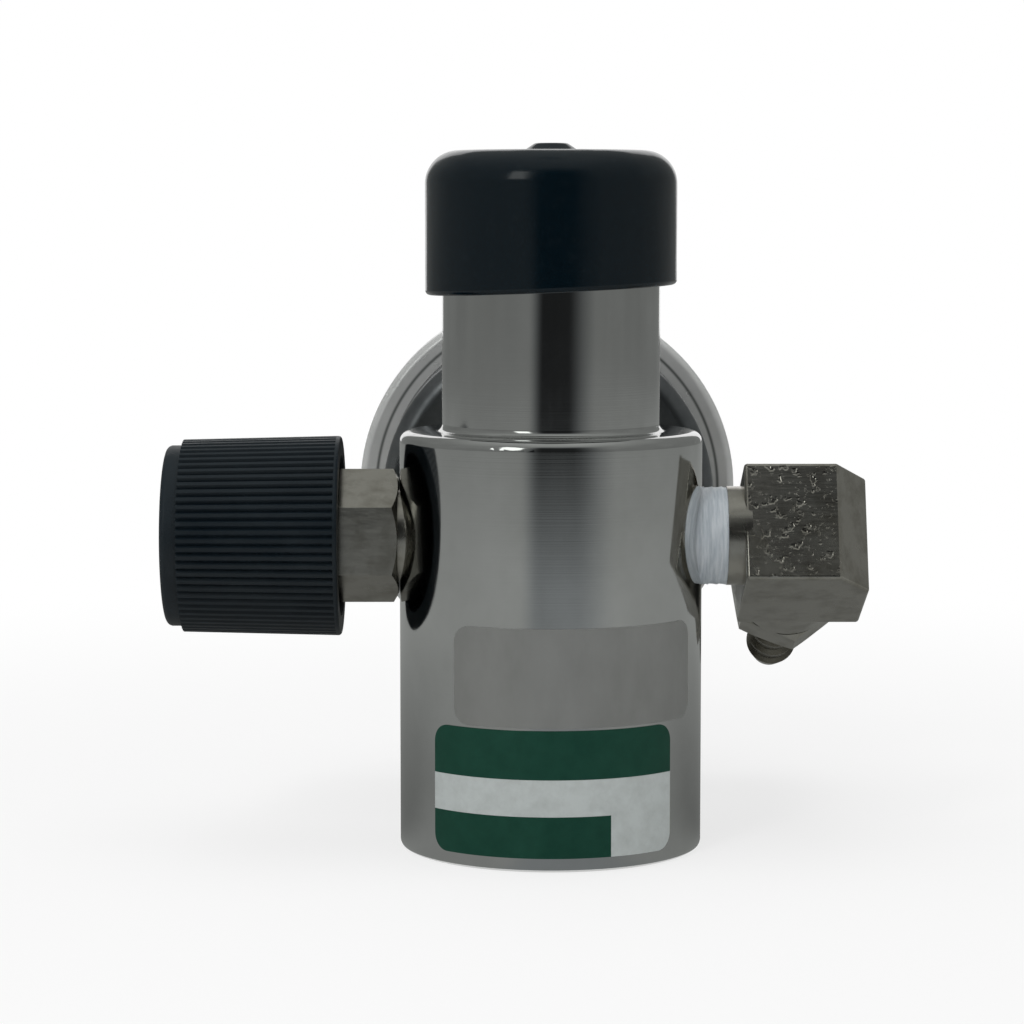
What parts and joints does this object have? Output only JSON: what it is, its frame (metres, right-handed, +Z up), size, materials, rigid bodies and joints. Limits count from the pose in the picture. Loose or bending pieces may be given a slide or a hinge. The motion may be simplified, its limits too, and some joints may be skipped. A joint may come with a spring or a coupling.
{
  "type": "oxygen regulator",
  "caption": "Small chrome oxygen regulator: turned body with capped threaded inlet, needle valve knob, pressure gauge and hose barb outlet.",
  "frame": {"origin": "centre of the flat base of the turned body", "axes": "+Z up the body's axis towards the inlet, -X towards the knob, +X towards the outlet elbow, +Y towards the pressure gauge"},
  "size_m": [0.0957, 0.0768, 0.0961],
  "materials": {
    "chrome_plate": "bright chrome plate on turned brass",
    "cap_vinyl": "glossy dipped vinyl",
    "seal_rubber": "matt",
    "sintered_bronze": "grainy",
    "bare_brass": "as turned",
    "spring_steel": "plain",
    "seat_nylon": "smooth",
    "nickel_plate": "dull nickel plate, stained",
    "knob_plastic": "satin moulded",
    "tape_white": "soft wrapped tape",
    "case_steel": "drawn steel",
    "bezel_steel": "polished",
    "window_clear": "clear",
    "dial_white": "matt print",
    "pointer_black": "matt",
    "label_silver": "translucent grey film",
    "label_green": "printed film"
  },
  "bodies": {
    "housing": {"regulator_body": "chrome_plate", "inlet_gasket": "seal_rubber", "inlet_filter": "sintered_bronze", "filter_retainer": "bare_brass", "spring_guide": "bare_brass", "poppet_spring": "spring_steel", "seat_nozzle": "bare_brass", "main_spring": "spring_steel", "base_plug": "bare_brass", "valve_body": "nickel_plate", "gland_nut": "nickel_plate", "thread_tape": "tape_white", "outlet_elbow": "nickel_plate", "hose_barb": "nickel_plate", "gauge_socket": "bare_brass", "case_screws": "spring_steel", "gauge_case": "case_steel", "gauge_bezel": "bezel_steel", "gauge_window": "window_clear", "window_seal": "seal_rubber", "bourdon_tube": "bare_brass", "bourdon_tip": "bare_brass", "back_plate": "bare_brass", "front_plate": "bare_brass", "movement_pillars": "bare_brass", "dial_screws": "spring_steel", "gauge_dial": "dial_white", "hairspring": "spring_steel", "silver_label": "label_silver", "serial_label": "label_green"},
    "cap": {"dust_cap": "cap_vinyl"},
    "knob": {"knob": "knob_plastic", "knob_screw": "spring_steel", "knob_cap": "knob_plastic", "valve_spindle": "spring_steel", "spindle_ring": "seal_rubber"},
    "needle": {"valve_needle": "spring_steel"},
    "piston": {"piston": "bare_brass", "piston_ring": "seal_rubber", "push_pin": "spring_steel"},
    "poppet": {"poppet": "bare_brass", "poppet_seat": "seat_nylon"},
    "pointer": {"gauge_pointer": "pointer_black", "pinion_arbor": "spring_steel"},
    "sector": {"sector_gear": "bare_brass"},
    "link": {"tip_link": "bare_brass"}
  },
  "joints": [
    {"name": "cap_pull", "type": "slide", "parent": "housing", "child": "cap", "axis": [0, 0, 1], "range_m": [0, 0.06]},
    {"name": "knob_turn", "type": "hinge", "parent": "housing", "child": "knob", "pos_m": [-0.04, 0, 0.0427], "axis": [-1, 0, 0], "range_deg": [0, 720]},
    {"name": "needle_travel", "type": "slide", "parent": "housing", "child": "needle", "axis": [-1, 0, 0], "range_m": [0, 0.0014]},
    {"name": "piston_travel", "type": "slide", "parent": "housing", "child": "piston", "axis": [0, 0, 1], "range_m": [-0.001, 0], "stiffness_N_per_m": 4000, "springref_m": 0.002, "deforming": ["main_spring"]},
    {"name": "poppet_travel", "type": "slide", "parent": "housing", "child": "poppet", "axis": [0, 0, 1], "range_m": [-0.001, 0], "deforming": ["poppet_spring"]},
    {"name": "pointer_turn", "type": "hinge", "parent": "housing", "child": "pointer", "pos_m": [0, 0.046, 0.0453], "axis": [0, -1, 0], "range_deg": [0, 270]},
    {"name": "sector_turn", "type": "hinge", "parent": "housing", "child": "sector", "pos_m": [-0.005, 0.037, 0.03664], "axis": [0, -1, 0], "range_deg": [-30, 0]},
    {"name": "link_swing", "type": "hinge", "parent": "sector", "child": "link", "pos_m": [-0.01042, 0.039, 0.03569], "axis": [0, -1, 0], "range_deg": [0, 30]}
  ],
  "couplings": [
    {"joint": "needle_travel", "follows": "knob_turn", "m_per_rad": 0.00011141},
    {"joint": "poppet_travel", "follows": "piston_travel", "ratio": 1},
    {"joint": "sector_turn", "follows": "pointer_turn", "ratio": -0.11111},
    {"joint": "link_swing", "follows": "pointer_turn", "ratio": 0.11111}
  ]
}
